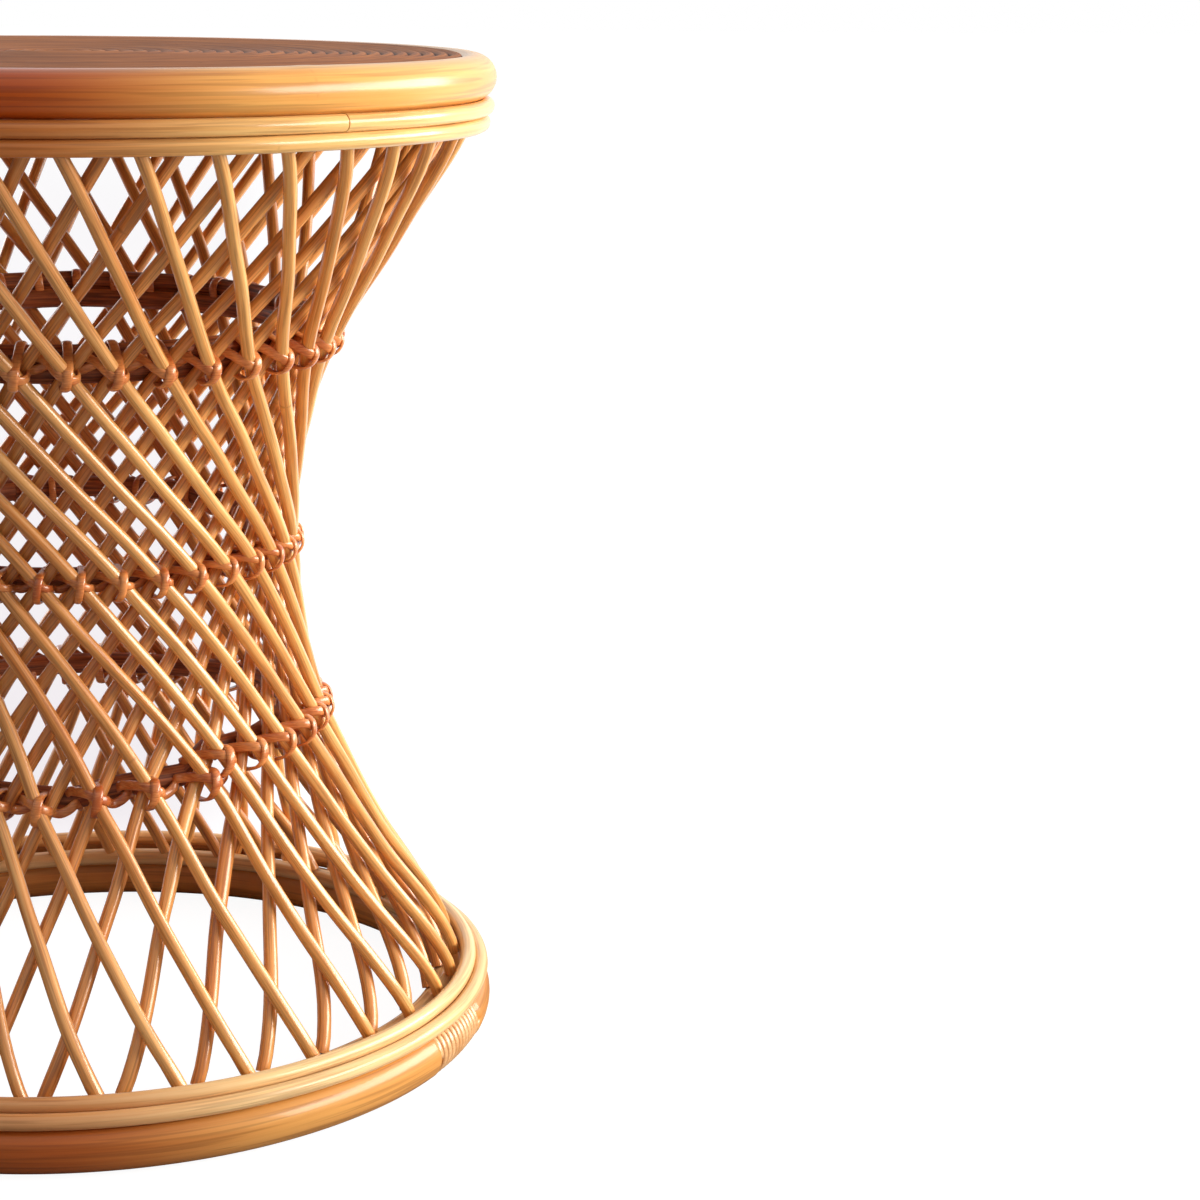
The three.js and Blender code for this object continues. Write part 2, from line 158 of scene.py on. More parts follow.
def tube(tree, curve, thickness, sides, scaled=False):
    """A round cane along a curve, which keeps the place along it and in its section for the grain.

    A scaled one is as thick at each point as the curve's own radius says.
    """
    length = node(tree, "GeometryNodeSplineParameter").outputs["Length"]
    kept = node(tree, "GeometryNodeStoreNamedAttribute",
                {"Geometry": curve, "Name": "along", "Value": length})
    radius = node(tree, "ShaderNodeMath", {0: thickness, 1: 0.5}, operation="MULTIPLY")
    circle = node(tree, "GeometryNodeCurvePrimitiveCircle", {"Resolution": sides, "Radius": radius})
    position = node(tree, "GeometryNodeInputPosition")
    section = node(tree, "GeometryNodeStoreNamedAttribute",
                   {"Geometry": circle, "Name": "section", "Value": position}, data_type="FLOAT_VECTOR")
    parts = {"Curve": kept, "Profile Curve": section, "Fill Caps": True}
    if scaled:
        parts["Scale"] = node(tree, "GeometryNodeInputRadius")
    return node(tree, "GeometryNodeCurveToMesh", parts)


def swelling(tree, curve, spacing, amount):
    """Thickens a cane a little at each of its growth nodes, one every `spacing`."""
    node_width = 0.0035
    length = node(tree, "GeometryNodeSplineParameter").outputs["Length"]
    away = node(tree, "ShaderNodeMath", {0: length, 1: spacing}, operation="PINGPONG")
    share = node(tree, "ShaderNodeMath", {0: away, 1: node_width}, operation="DIVIDE")
    square = node(tree, "ShaderNodeMath", {0: share, 1: share}, operation="MULTIPLY")
    fall = node(tree, "ShaderNodeMath", {0: square, 1: -1.0}, operation="MULTIPLY")
    bump = node(tree, "ShaderNodeMath", {0: fall}, operation="EXPONENT")
    scale = node(tree, "ShaderNodeMath", {0: bump, 1: amount, 2: 1.0}, operation="MULTIPLY_ADD")
    return node(tree, "GeometryNodeSetCurveRadius", {"Curve": curve, "Radius": scale})


def start_angle(tree, turn):
    """The angle from +X, in radians, of a turn from the front."""
    start = node(tree, "ShaderNodeMath", {0: turn, 1: -90.0})
    return node(tree, "ShaderNodeMath", {0: start}, operation="RADIANS")


def ring_tree():
    """A cane bent to a ring, with a butt joint at a turn."""
    tree, given = new_tree("bent ring", [
        "Radius", "Height", "Thickness", "Joint turn", "Gap", "Node spacing", "Swelling", "Drift",
    ], ["Steps", "Sides"])
    angle = start_angle(tree, given["Joint turn"])
    opening = node(tree, "ShaderNodeMath", {0: given["Gap"], 1: given["Radius"]}, operation="DIVIDE")
    sweep = node(tree, "ShaderNodeMath", {0: 2 * math.pi, 1: opening}, operation="SUBTRACT")
    arc = node(tree, "GeometryNodeCurveArc", {
        "Resolution": given["Steps"], "Radius": given["Radius"], "Start Angle": angle, "Sweep Angle": sweep,
    })
    lift = node(tree, "ShaderNodeCombineXYZ", {"Z": given["Height"]})
    offset = node(tree, "ShaderNodeVectorMath", {0: drift(tree, given["Drift"], ring_drift_scale), 1: lift})
    bent = node(tree, "GeometryNodeSetPosition", {"Geometry": arc, "Offset": offset})
    grown = swelling(tree, bent, given["Node spacing"], given["Swelling"])
    end_tree(tree, tube(tree, grown, given["Thickness"], given["Sides"], scaled=True), given["Material"])
    return tree


bent_ring = ring_tree()


def bend_ring(name, ring, joint_turn, node_spacing, material, swell, wander, steps=ring_steps, sides=20):
    """A ring of cane, with the radius, height and thickness in `ring`, closed at a joint."""
    return grow(name, bent_ring, {
        **ring, "Joint turn": joint_turn, "Gap": joint_gap, "Node spacing": node_spacing, "Swelling": swell,
        "Drift": wander, "Steps": steps, "Sides": sides, "Material": material,
    })


def new_material(name):
    """A material without nodes; returns it with its tree."""
    material = bpy.data.materials.new(name)
    material.use_nodes = True
    material.node_tree.nodes.clear()
    return material, material.node_tree


def surface(tree, colour, relief, strength, depth, settings):
    """Ends a material in its colour, its relief and the shader's own settings."""
    bump = node(tree, "ShaderNodeBump", {"Height": relief, "Strength": strength, "Distance": depth})
    shader = node(tree, "ShaderNodeBsdfPrincipled", {"Base Color": colour, "Normal": bump, **settings})
    node(tree, "ShaderNodeOutputMaterial", {"Surface": shader})


def painted_amber_shade(tree, colour, amount):
    """Painted shade: deepens a colour to amber on the drum's shaded front left, and half as much at its
    back.
    """
    where = node(tree, "ShaderNodeTexCoord").outputs["Object"]
    level = node(tree, "ShaderNodeVectorMath", {0: where, 1: (1.0, 1.0, 0.0)}, operation="MULTIPLY")
    outward = node(tree, "ShaderNodeVectorMath", {0: level}, operation="NORMALIZE")
    shaded = math.radians(amber_turn)
    facing = node(tree, "ShaderNodeVectorMath",
                  {0: outward, 1: (math.sin(shaded), -math.cos(shaded), 0.0)},
                  operation="DOT_PRODUCT").outputs["Value"]
    share = node(tree, "ShaderNodeMapRange", {
        "Value": facing, "From Min": 0.33, "From Max": 0.80, "To Max": amount,
    }, interpolation_type="SMOOTHSTEP")
    backward = node(tree, "ShaderNodeSeparateXYZ", {0: outward}).outputs["Y"]
    rear = node(tree, "ShaderNodeMapRange", {
        "Value": backward, "From Min": 0.3, "From Max": 0.9, "To Max": amount / 2,
    }, interpolation_type="SMOOTHSTEP")
    either = node(tree, "ShaderNodeMath", {0: share, 1: rear}, operation="MAXIMUM")
    return node(tree, "ShaderNodeMix", {0: either, 6: colour, 7: linear(amber)}, data_type="RGBA",
                blend_type="MULTIPLY").outputs[2]


def grain_of(tree, stretch):
    """A place in a cane's section that moves on slowly along it, so that noise there draws streaks.

    The streaks are `stretch` times as long as they are wide, and each cane has its own. The place comes
    with the distance along the cane and the cane's tint.
    """
    along = node(tree, "ShaderNodeAttribute", attribute_name="along").outputs["Fac"]
    section = node(tree, "ShaderNodeAttribute", attribute_name="section").outputs["Vector"]
    tint = node(tree, "ShaderNodeAttribute", attribute_name="tint").outputs["Fac"]
    stretched = node(tree, "ShaderNodeMath", {0: along, 1: 1 / stretch}, operation="MULTIPLY")
    shifted = node(tree, "ShaderNodeMath", {0: tint, 1: 0.37, 2: stretched}, operation="MULTIPLY_ADD")
    lift = node(tree, "ShaderNodeCombineXYZ", {"Z": shifted})
    return node(tree, "ShaderNodeVectorMath", {0: section, 1: lift}), along, tint


def cane(name, pale, deep, dark, streak_width, gloss, node_spacing, marks, mottle=0.5, painted_shade_depth=1.0,
         roughness=0.42, index=1.5, fibre=0.3, groove_shade_heights=None, polish=0.16):
    """Cane with its skin on, varnished where it has a gloss: streaks, a dark line at each node and painted
    shade.
    """
    material, tree = new_material(name)
    grain, along, tint = grain_of(tree, 40)
    streaks = node(tree, "ShaderNodeTexNoise", {
        "Vector": grain, "Scale": 1 / streak_width, "Detail": 4.0, "Roughness": 0.6,
    })
    # Broad patches where the skin is paler or the varnish has pooled; the fibres' own dark lines, finer than
    # the streaks, and coarser than real ones, so that they show; small dark specks and short cracks
    patches, threads, specks = (
        node(tree, "ShaderNodeTexNoise", {"Vector": grain, "Scale": share / streak_width, "Detail": detail})
        for share, detail in ((0.22, 2.0), (1.7, 1.0), (2.6, 1.0))
    )
    fine = node(tree, "ShaderNodeMapRange", {"Value": streaks, "From Min": 0.36, "From Max": 0.66})
    broad = node(tree, "ShaderNodeMapRange", {"Value": patches, "From Min": 0.38, "From Max": 0.66})
    mixed = node(tree, "ShaderNodeMix", {0: mottle, 2: fine, 3: broad})
    varied = node(tree, "ShaderNodeMath", {0: tint, 1: 0.45, 2: mixed}, operation="MULTIPLY_ADD")
    ground = node(tree, "ShaderNodeMix", {0: varied, 6: linear(pale), 7: linear(deep)}, data_type="RGBA")
    thread = node(tree, "ShaderNodeMapRange", {
        "Value": threads, "From Min": 0.50, "From Max": 0.62, "To Max": fibre,
    })
    # A growth node is a thin dark line, broken here and there, round the cane every `node_spacing`
    line_waver, line_core, line_edge = 0.0016, 0.0007, 0.0019
    position = node(tree, "ShaderNodeMath", {0: tint, 1: 0.41, 2: along}, operation="MULTIPLY_ADD")
    away = node(tree, "ShaderNodeMath", {0: position, 1: node_spacing}, operation="PINGPONG")
    uneven = node(tree, "ShaderNodeMath", {0: streaks, 1: line_waver, 2: away}, operation="MULTIPLY_ADD")
    whole = node(tree, "ShaderNodeMapRange", {
        "Value": uneven, "From Min": line_core, "From Max": line_edge, "To Min": marks, "To Max": 0.0,
    })
    kept = node(tree, "ShaderNodeMapRange", {"Value": patches, "From Min": 0.48, "From Max": 0.60})
    line = node(tree, "ShaderNodeMath", {0: whole, 1: kept}, operation="MULTIPLY")
    speck = node(tree, "ShaderNodeMapRange", {
        "Value": specks, "From Min": 0.74, "From Max": 0.8, "To Max": marks,
    })
    spotted = node(tree, "ShaderNodeMath", {0: line, 1: speck}, operation="MAXIMUM")
    mark = node(tree, "ShaderNodeMath", {0: spotted, 1: thread}, operation="MAXIMUM")
    if groove_shade_heights:
        # Painted shade: the seams between canes that lie side by side are darkened, fully below the first
        # height and fading out by the second
        where = node(tree, "ShaderNodeTexCoord").outputs["Object"]
        rise = node(tree, "ShaderNodeSeparateXYZ", {0: where}).outputs["Z"]
        painted_groove_shade = node(tree, "ShaderNodeMapRange", {
            "Value": rise, "From Min": groove_shade_heights[0], "From Max": groove_shade_heights[1], "To Min": 1.0, "To Max": 0.0,
        })
        mark = node(tree, "ShaderNodeMath", {0: mark, 1: painted_groove_shade}, operation="MAXIMUM")
    colour = node(tree, "ShaderNodeMix", {0: mark, 6: ground.outputs[2], 7: linear(dark)},
                  data_type="RGBA").outputs[2]
    # The colour is deepened to amber where the drum lies in shade: painted shade
    surface(tree, painted_amber_shade(tree, colour, painted_shade_depth), streaks, 0.25, 0.0002, {
        "Roughness": roughness, "IOR": index, "Coat Weight": gloss, "Coat Roughness": polish,
        "Coat IOR": 1.5,
    })
    return material


# Steam-bent rattan pole under clear varnish: orange honey, redder in patches, with a soft gloss
rim_pole_finish = cane("varnished rattan pole", "#f7be6a", "#da8d3a", "#6b3512", 0.0030, 0.7,
                       rim_pole_node_spacing, marks=0.4, mottle=0.6, fibre=0.28, index=1.3, polish=0.23)
finished(bend_ring("rim_pole_bent_cane", ring_place("rim_pole", rim_pole_thickness), joint_turn=-164.0,
                   node_spacing=rim_pole_node_spacing, material=rim_pole_finish, swell=0.02, wander=0.0004,
                   sides=40), "rim_cane", "rim_pole")

# Rim bands
# Two thinner canes bent round under the rim pole and nailed to the stakes, each closed with a butt joint.
# The upper one's joint shows at the front right.
rim_band_thickness = 0.0072
rim_band_node_spacing = 0.24
# Thinner cane under the same varnish, paler than the pole
rim_band_finish = cane("varnished rattan band", "#fad28c", "#e6aa5c", "#7b4520", 0.0022, 0.7,
                       rim_band_node_spacing, marks=0.4, painted_shade_depth=0.8, index=1.3)
for name, joint_turn in (("upper_rim_band", 36.0), ("lower_rim_band", -122.0)):
    finished(bend_ring(name + "_bent_cane", ring_place(name, rim_band_thickness), joint_turn,
                       rim_band_node_spacing, rim_band_finish, swell=0.03, wander=0.0005),
             "rim_cane", name)

# Base pole
# The thickest cane, bent to the ring that the stool stands on, and redder than the rim. Its scarf joint is
# planed down and bound with peel at the right.
base_pole_thickness = 0.0226
base_joint_turn = 62.2
neck_share = 0.86
shoulder_length = 0.0016
binding_pitch = 0.00385
binding_loops = 12
# Thick old rattan, so red-brown in patches and less glossy than the rim
base_pole_finish = cane("varnished base rattan", "#e6aa5e", "#c27c38", "#5a2c12", 0.0034, 0.5,
                        node_spacing=0.29, marks=0.5, mottle=0.6, painted_shade_depth=0.85, index=1.3)


def laid_out(tree, curve, turn, height, wander, scale):
    """A curve turned so that it starts at a turn, lifted to a height and let drift a little."""
    turned = node(tree, "ShaderNodeCombineXYZ", {"Z": start_angle(tree, turn)})
    lift = node(tree, "ShaderNodeCombineXYZ", {"Z": height})
    laid = node(tree, "GeometryNodeTransform", {"Geometry": curve, "Rotation": turned, "Translation": lift})
    return node(tree, "GeometryNodeSetPosition", {"Geometry": laid, "Offset": drift(tree, wander, scale)})


def base_pole_tree():
    """The standing ring, drawn in smoothly at its bound joint."""
    tree, given = new_tree("standing ring", [
        "Radius", "Height", "Thickness", "Joint turn", "Joint length", "Neck", "Drift",
    ], ["Steps", "Sides"])
    circle = node(tree, "GeometryNodeCurvePrimitiveCircle",
                  {"Resolution": given["Steps"], "Radius": given["Radius"]})
    # The circle starts at the joint's middle, so a distance along it is a distance from the joint
    bent = laid_out(tree, circle, given["Joint turn"], given["Height"], given["Drift"], ring_drift_scale)
    factor = node(tree, "GeometryNodeSplineParameter").outputs["Factor"]
    way = node(tree, "ShaderNodeMath", {0: factor, 1: 0.5}, operation="PINGPONG")
    round_length = node(tree, "ShaderNodeMath", {0: given["Radius"], 1: 2 * math.pi}, operation="MULTIPLY")
    away = node(tree, "ShaderNodeMath", {0: way, 1: round_length}, operation="MULTIPLY")
    half_joint = node(tree, "ShaderNodeMath", {0: given["Joint length"], 1: 0.5}, operation="MULTIPLY")
    shoulder = node(tree, "ShaderNodeMath", {0: half_joint, 1: shoulder_length})
    scale = node(tree, "ShaderNodeMapRange", {
        "Value": away, "From Min": half_joint, "From Max": shoulder, "To Min": given["Neck"], "To Max": 1.0,
    })
    necked = node(tree, "GeometryNodeSetCurveRadius", {"Curve": bent, "Radius": scale})
    end_tree(tree, tube(tree, necked, given["Thickness"], given["Sides"], scaled=True), given["Material"])
    return tree


base_ring = ring_place("base_pole", base_pole_thickness)
finished(grow("base_pole_bent_cane", base_pole_tree(), {
    **base_ring, "Joint turn": base_joint_turn, "Joint length": binding_loops * binding_pitch,
    "Neck": neck_share, "Drift": 0.0004, "Steps": 720, "Sides": 40, "Material": base_pole_finish,
}), "base_cane", "base_pole")

# Base bands
# Two canes that hold the stakes' feet against the pole from outside, and a third one inside them, which is
# a little thicker and fills the gap over the pole's shoulder.
base_band_thickness = 0.0072
inner_band_thickness = 0.0086
inner_band_rise = 0.0011
base_band_node_spacing = 0.26
# The palest canes, under a thin coat
base_band_finish = cane("varnished base band", "#fadca6", "#e6b270", "#8a5026", 0.0022, 0.55,
                        base_band_node_spacing, marks=0.4, painted_shade_depth=0.62, index=1.3)
for name, joint_turn in (("lower_base_band", 139.0), ("upper_base_band", -75.0), ("inner_base_band", 20.0)):
    ring = ring_place(name, base_band_thickness)
    if name == "inner_base_band":
        ring["Thickness"] = inner_band_thickness
        ring["Height"] += inner_band_rise
    finished(bend_ring(name + "_bent_cane", ring, joint_turn, base_band_node_spacing, base_band_finish,
                       swell=0.03, wander=0.0004), "base_cane", name)

# Stakes
# Thin canes that lean round the drum from rim to base: 36 outer ones, and 36 inner ones that lean the
# other way and cross them on the hoops. Each is nailed at both ends and tied where it crosses a hoop.
stake_thickness = 0.0058
crossing_clearance = 0.0008
stake_count = 36
stake_pitch = 360 / stake_count
outer_start = -1.0
# Turns of an outer and of an inner stake from row to row, and the outer one's radius and height there
end_turn = 1.4
upper_turns, waist_turns, lower_turns, bend_turns = (20.4, 26.4), (41.7, 38.3), (33.8, 36.2), (16.4, 18.3)
inner_start = outer_start + upper_turns[0] + upper_turns[1]
rim_end, rim_row = (0.1806, 0.4281), (0.1787, 0.4202)
upper_row, waist_row, lower_row = (0.1185, 0.3225), (0.0992, 0.2305), (0.1141, 0.1442)
base_bend, base_foot = (0.1703, 0.0370), (0.1727, 0.0270)
upper_bow, waist_bow, foot_bow = 0.0022, 0.0016, -0.0021
# The bands hold the canes true up to these heights, and past the second of each pair the canes may drift
base_hold, base_free = 0.04, 0.09
rim_hold, rim_free = 0.415, 0.365
lattice_drift = 0.0022
lattice_drift_scale = 14.0


def place(radius, turn, height):
    """A point on the drum."""
    angle = math.radians(turn)
    return Vector((radius * math.sin(angle), -radius * math.cos(angle), height))


def mid_span(above, below, above_turn, below_turn, bow):
    """Radius, height and turn half way along the straight line between two rows, bowed a little."""
    middle = (place(above[0], above_turn, above[1]) + place(below[0], below_turn, below[1])) / 2
    way = math.degrees(math.atan2(middle.x, -middle.y))
    way += 360 * round(((above_turn + below_turn) / 2 - way) / 360)
    return math.hypot(middle.x, middle.y) + bow, middle.z, way


def stations_of(family):
    """Radius, height and turn of a stake's centre line, from its top at turn 0."""
    upper = upper_turns[family]
    waist = upper + waist_turns[family]
    lower = waist + lower_turns[family]
    bend = lower + bend_turns[family]
    return [
        (*rim_end, -end_turn), (*rim_row, 0.0), mid_span(rim_row, upper_row, 0.0, upper, upper_bow),
        (*upper_row, upper), mid_span(upper_row, waist_row, upper, waist, waist_bow),
        (*waist_row, waist), (*lower_row, lower), mid_span(lower_row, base_bend, lower, bend, foot_bow),
        (*base_bend, bend), (*base_foot, bend + end_turn),
    ]


outer_stations = stations_of(0)
upper_station, waist_station, lower_station = 3, 5, 6


def wall_slope(index):
    """How fast the drum's wall runs outwards on the way up, at a station."""
    above = outer_stations[max(index - 1, 0)]
    below = outer_stations[min(index + 1, len(outer_stations) - 1)]
    return (above[0] - below[0]) / (above[1] - below[1])


def eased_between(points, value):
    """The value drawn through chosen (place, value) points, level beyond the first and the last."""
    if value <= points[0][0]:
        return points[0][1]
    for (left, low), (right, high) in zip(points, points[1:]):
        if value <= right:
            share = (value - left) / (right - left)
            return low + (high - low) * share
    return points[-1][1]


def folded(turn):
    """The same turn, between -180 and 180 degrees."""
    return (turn + 180) % 360 - 180


def settle(piece, shift, own_turns=False):
    """Moves each corner of a piece by the rise, step outwards and step round that `shift` gives it.

    It goes by the corner's turn, or by the turn that each cane or knot was given as its own.
    """
    mesh = piece.data
    count = len(mesh.vertices)
    flat = [0.0] * (3 * count)
    mesh.vertices.foreach_get("co", flat)
    turns = [0.0] * count
    if own_turns:
        mesh.attributes["turn"].data.foreach_get("value", turns)
    for i in range(count):
        x, y, height = flat[3 * i:3 * i + 3]
        radius, turn = math.hypot(x, y), math.degrees(math.atan2(x, -y))
        rise, out, round_turn = shift(folded(turns[i]) if own_turns else turn, height)
        flat[3 * i:3 * i + 3] = place(radius + out, turn + round_turn, height + rise)
    mesh.vertices.foreach_set("co", flat)
    mesh.update()
    return piece


def mesh_of(name, corners, edges=(), faces=()):
    """A mesh from its corners and what joins them."""
    mesh = bpy.data.meshes.new(name)
    mesh.from_pydata(corners, edges, faces)
    return mesh


def copies(tree, given, geometry):
    """Turns copies of a geometry about the drum's axis, lets them drift a little and ends the tree."""
    points = node(tree, "GeometryNodePoints", {"Count": given["Count"]})
    index = node(tree, "GeometryNodeInputIndex")
    turn = node(tree, "ShaderNodeMath", {0: index, 1: given["Pitch"], 2: given["Start turn"]},
                operation="MULTIPLY_ADD")
    chance = node(tree, "FunctionNodeRandomValue", {2: -1.0, 3: 1.0, "Seed": given["Seed"]}).outputs[1]
    off = node(tree, "ShaderNodeMath", {0: chance, 1: given["Unevenness"], 2: turn},
               operation="MULTIPLY_ADD")
    angle = node(tree, "ShaderNodeMath", {0: off}, operation="RADIANS")
    euler = node(tree, "ShaderNodeCombineXYZ", {"Z": angle})
    rotation = node(tree, "FunctionNodeEulerToRotation", {0: euler})
    instances = node(tree, "GeometryNodeInstanceOnPoints",
                     {"Points": points, "Instance": geometry, "Rotation": rotation})
    tint = node(tree, "FunctionNodeRandomValue", {2: -0.5, 3: 0.5, "Seed": 7}).outputs[1]
    tinted = node(tree, "GeometryNodeStoreNamedAttribute",
                  {"Geometry": instances, "Name": "tint", "Value": tint}, domain="INSTANCE")
    counted = node(tree, "GeometryNodeStoreNamedAttribute",
                   {"Geometry": tinted, "Name": "turn", "Value": off}, domain="INSTANCE")
    real = node(tree, "GeometryNodeRealizeInstances", {"Geometry": counted})
    position = node(tree, "GeometryNodeInputPosition")
    height = node(tree, "ShaderNodeSeparateXYZ", {0: position}).outputs["Z"]
    low = node(tree, "ShaderNodeMapRange", {"Value": height, "From Min": base_hold, "From Max": base_free})
    high = node(tree, "ShaderNodeMapRange", {"Value": height, "From Min": rim_hold, "From Max": rim_free})
    free = node(tree, "ShaderNodeMath", {0: low, 1: high}, operation="MULTIPLY")
    amount = node(tree, "ShaderNodeMath", {0: free, 1: given["Drift"]}, operation="MULTIPLY")
    moved = node(tree, "GeometryNodeSetPosition",
                 {"Geometry": real, "Offset": drift(tree, amount, lattice_drift_scale)})
    end_tree(tree, moved, given["Material"])


def stakes_tree():
    """Copies of one stake round the drum, each turned a little off its place and with its own tint."""
    tree, given = new_tree("stakes", ["Start turn", "Pitch", "Unevenness", "Thickness", "Drift"],
                           ["Count", "Steps", "Sides", "Seed"], shape=True)
    curve = node(tree, "GeometryNodeMeshToCurve", {"Mesh": given["Geometry"]})
    bezier = node(tree, "GeometryNodeCurveSplineType", {"Curve": curve}, spline_type="BEZIER")
    bent = node(tree, "GeometryNodeCurveSetHandles", {"Curve": bezier}, handle_type="AUTO")
    even = node(tree, "GeometryNodeResampleCurve", {"Curve": bent, "Count": given["Steps"]})
    copies(tree, given, tube(tree, even, given["Thickness"], given["Sides"]))
    return tree


outer_line = [place(radius, turn, height) for radius, height, turn in outer_stations]
inner_line = []
for index, (_, height, turn) in enumerate(stations_of(1)):
    step_in = (stake_thickness + crossing_clearance) * math.hypot(1, wall_slope(index))
    inner_line.append(place(outer_stations[index][0] - step_in, -turn, height))
line_edges = [(i, i + 1) for i in range(len(outer_line) - 1)]
# Thin rattan with its skin on, varnished: honey gold, with pale and brown streaks along it
outer_finish = cane("varnished outer stake", "#fdc678", "#de8c38", "#8a4818", 0.0013, 1.0,
                    node_spacing=0.21, marks=0.5, mottle=0.3, painted_shade_depth=0.3, fibre=0.36, polish=0.17)
inner_finish = cane("varnished inner stake", "#f8b464", "#d68034", "#7c3e18", 0.0013, 0.8,
                    node_spacing=0.19, marks=0.5, mottle=0.35, painted_shade_depth=0.25, fibre=0.38, polish=0.17)
stakes = stakes_tree()
stake_values = {
    "Count": stake_count, "Pitch": stake_pitch, "Unevenness": 0.22, "Thickness": stake_thickness,
    "Drift": lattice_drift, "Steps": 72, "Sides": 14,
}
pair_labels = [f"{pair:02d}" for pair in range(1, stake_count // 2 + 1)]
# The feet are nailed a little off their even spacing, and where the lower row was tied, the inner stakes
# were pushed round and the outer ones parted: degrees of step round by turn, and each height's share of it
foot_steps = ((-90, 0), (-5, -2.2), (4, -1.3), (13, -0.2), (23, 0.3), (33, 1.1), (43, 2.2), (52, 2.8),
              (62, 3.5), (130, 0))
foot_share = ((0.037, 1), (0.135, 0))
pushed_steps = ((15, 0), (24, 2.5), (30, 4.8), (75, 4.8), (110, 0))
pushed_share = ((0.037, 0), (0.144, 1), (0.16, 0.9), (0.195, 0.2), (0.212, 0))
parted_steps = ((-60, 0), (-5, -6.3), (5, -3), (15, -0.5), (25, 3.4), (35, 0.3), (45, 0))
parted_share = ((0.037, 0), (0.137, 1), (0.15, 0.9), (0.21, 0))


def outer_feet(turn, height):
    """The outer stakes are off their even spacing at the feet."""
    return 0, 0, eased_between(foot_steps, turn) * eased_between(foot_share, height)


def outer_parted(own_turn, height):
    """Each outer stake goes by its own turn at the lower row."""
    turn = folded(own_turn + outer_stations[lower_station][2])
    return 0, 0, eased_between(parted_steps, turn) * eased_between(parted_share, height)


def inner_pushed(turn, height):
    """The inner stakes are off their even spacing at the feet and at the lower row."""
    pushed = eased_between(pushed_steps, turn) * eased_between(pushed_share, height)
    return 0, 0, pushed + eased_between(foot_steps, turn) * eased_between(foot_share, height)


# Name, first turn, seed, finish and line of each family, and the shifts that it takes, in order
families = (
    ("outer_stake", outer_start, 3, outer_finish, outer_line, (outer_feet, False), (outer_parted, True)),
    ("inner_stake", inner_start, 4, inner_finish, inner_line, (inner_pushed, False)),
)
for name, start_turn, seed, finish, line, *shifts in families:
    family = grow(name + "s", stakes, {
        **stake_values, "Start turn": start_turn, "Seed": seed, "Material": finish,
    }, mesh_of(name + "s", line, line_edges))
    for shift, own_turns in shifts:
        settle(family, shift, own_turns)
    finished(family, name + "_cane", *[f"{name}_pair_{label}" for label in pair_labels])

# Hoops
# Three rings of thick core cane inside the stakes, one at each row of crossings, and a thinner one on the
# upper. The skin is off, so the stain has soaked in and left them dark red-brown, rough and stringy.
hoop_thickness = 0.010
hoop_steps = 180
doubling_thickness = 0.0088
doubling_rise = 0.0078
hoop_stations = {"upper": upper_station, "waist": waist_station, "lower": lower_station}
# Hoops are tied by eye, so each row rises and dips: millimetres off its level by turn
row_rises = {
    "upper": ((-180, 6), (-150, 5), (-110, 3), (-80, 0), (80, 0), (110, 3), (150, 5), (180, 6)),
    "waist": ((-180, 8.5), (-140, 8), (-90, 0), (90, 0), (140, 8), (180, 8.5)),
    "lower": ((-180, 3), (-120, 2), (-90, 0), (-45, -2), (-5, -7), (5, -3.5), (15, -2), (25, -1.7),
              (35, 6.5), (55, 6), (75, 8), (110, 6), (150, 3), (180, 3)),
}


def stringy(name, pale, dark, fibre_width, roughness):
    """Stained core cane: dark and matt, with fibres along it."""
    material, tree = new_material(name)
    grain = grain_of(tree, 25)[0]
    fibres = node(tree, "ShaderNodeTexNoise", {"Vector": grain, "Scale": 1 / fibre_width, "Detail": 3.0})
    share = node(tree, "ShaderNodeMapRange", {"Value": fibres, "From Min": 0.35, "From Max": 0.68})
    colour = node(tree, "ShaderNodeMix", {0: share, 6: linear(dark), 7: linear(pale)}, data_type="RGBA")
    surface(tree, colour.outputs[2], fibres, 0.6, 0.0006, {"Roughness": roughness, "IOR": 1.5})
    return material


def row_settled(label, knots):
    """How a row's hoop or knots leave their level: the knots slide down the outer stakes that they hold."""
    index = hoop_stations[label]
    slope = wall_slope(index)
    above, below = outer_stations[index - 1], outer_stations[index + 1]
    turn_slope = (above[2] - below[2]) / (above[1] - below[1])
    rises = row_rises[label]
    if not knots:
        rises = [(turn + turn_slope * rise / 1000, rise) for turn, rise in rises]

    def shift(turn, _):
        rise = eased_between(rises, turn) / 1000
        if not knots:
            return rise, slope * rise, 0
        parted = eased_between(parted_steps, turn) if label == "lower" else 0
        return rise, slope * rise, turn_slope * rise + parted

    return shift


# Stain without varnish: red-brown ridges of fibre with darker lines between them
hoop_finish = stringy("stained core cane", "#b86636", "#683014", 0.0012, 0.55)
for label, joint_turn in (("upper", 150.0), ("waist", -160.0), ("lower", 100.0)):
    hoop = bend_ring(label + "_hoop_core_cane", ring_place(label + "_hoop", hoop_thickness), joint_turn,
                     node_spacing=0.2, material=hoop_finish, swell=0.02, wander=0.0006, steps=hoop_steps)
    finished(settle(hoop, row_settled(label, knots=False)), "hoop_cane", label + "_hoop")
ring = ring_place("upper_hoop", hoop_thickness)
ring["Radius"] += doubling_rise * wall_slope(upper_station)
ring["Height"] += doubling_rise
ring["Thickness"] = doubling_thickness
doubling = bend_ring("upper_hoop_doubling_cane", ring, joint_turn=118.0, node_spacing=0.26,
                     material=hoop_finish, swell=0.02, wander=0.0016, steps=hoop_steps, sides=16)
settle(doubling, row_settled("upper", knots=False))
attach(doubling, "root")

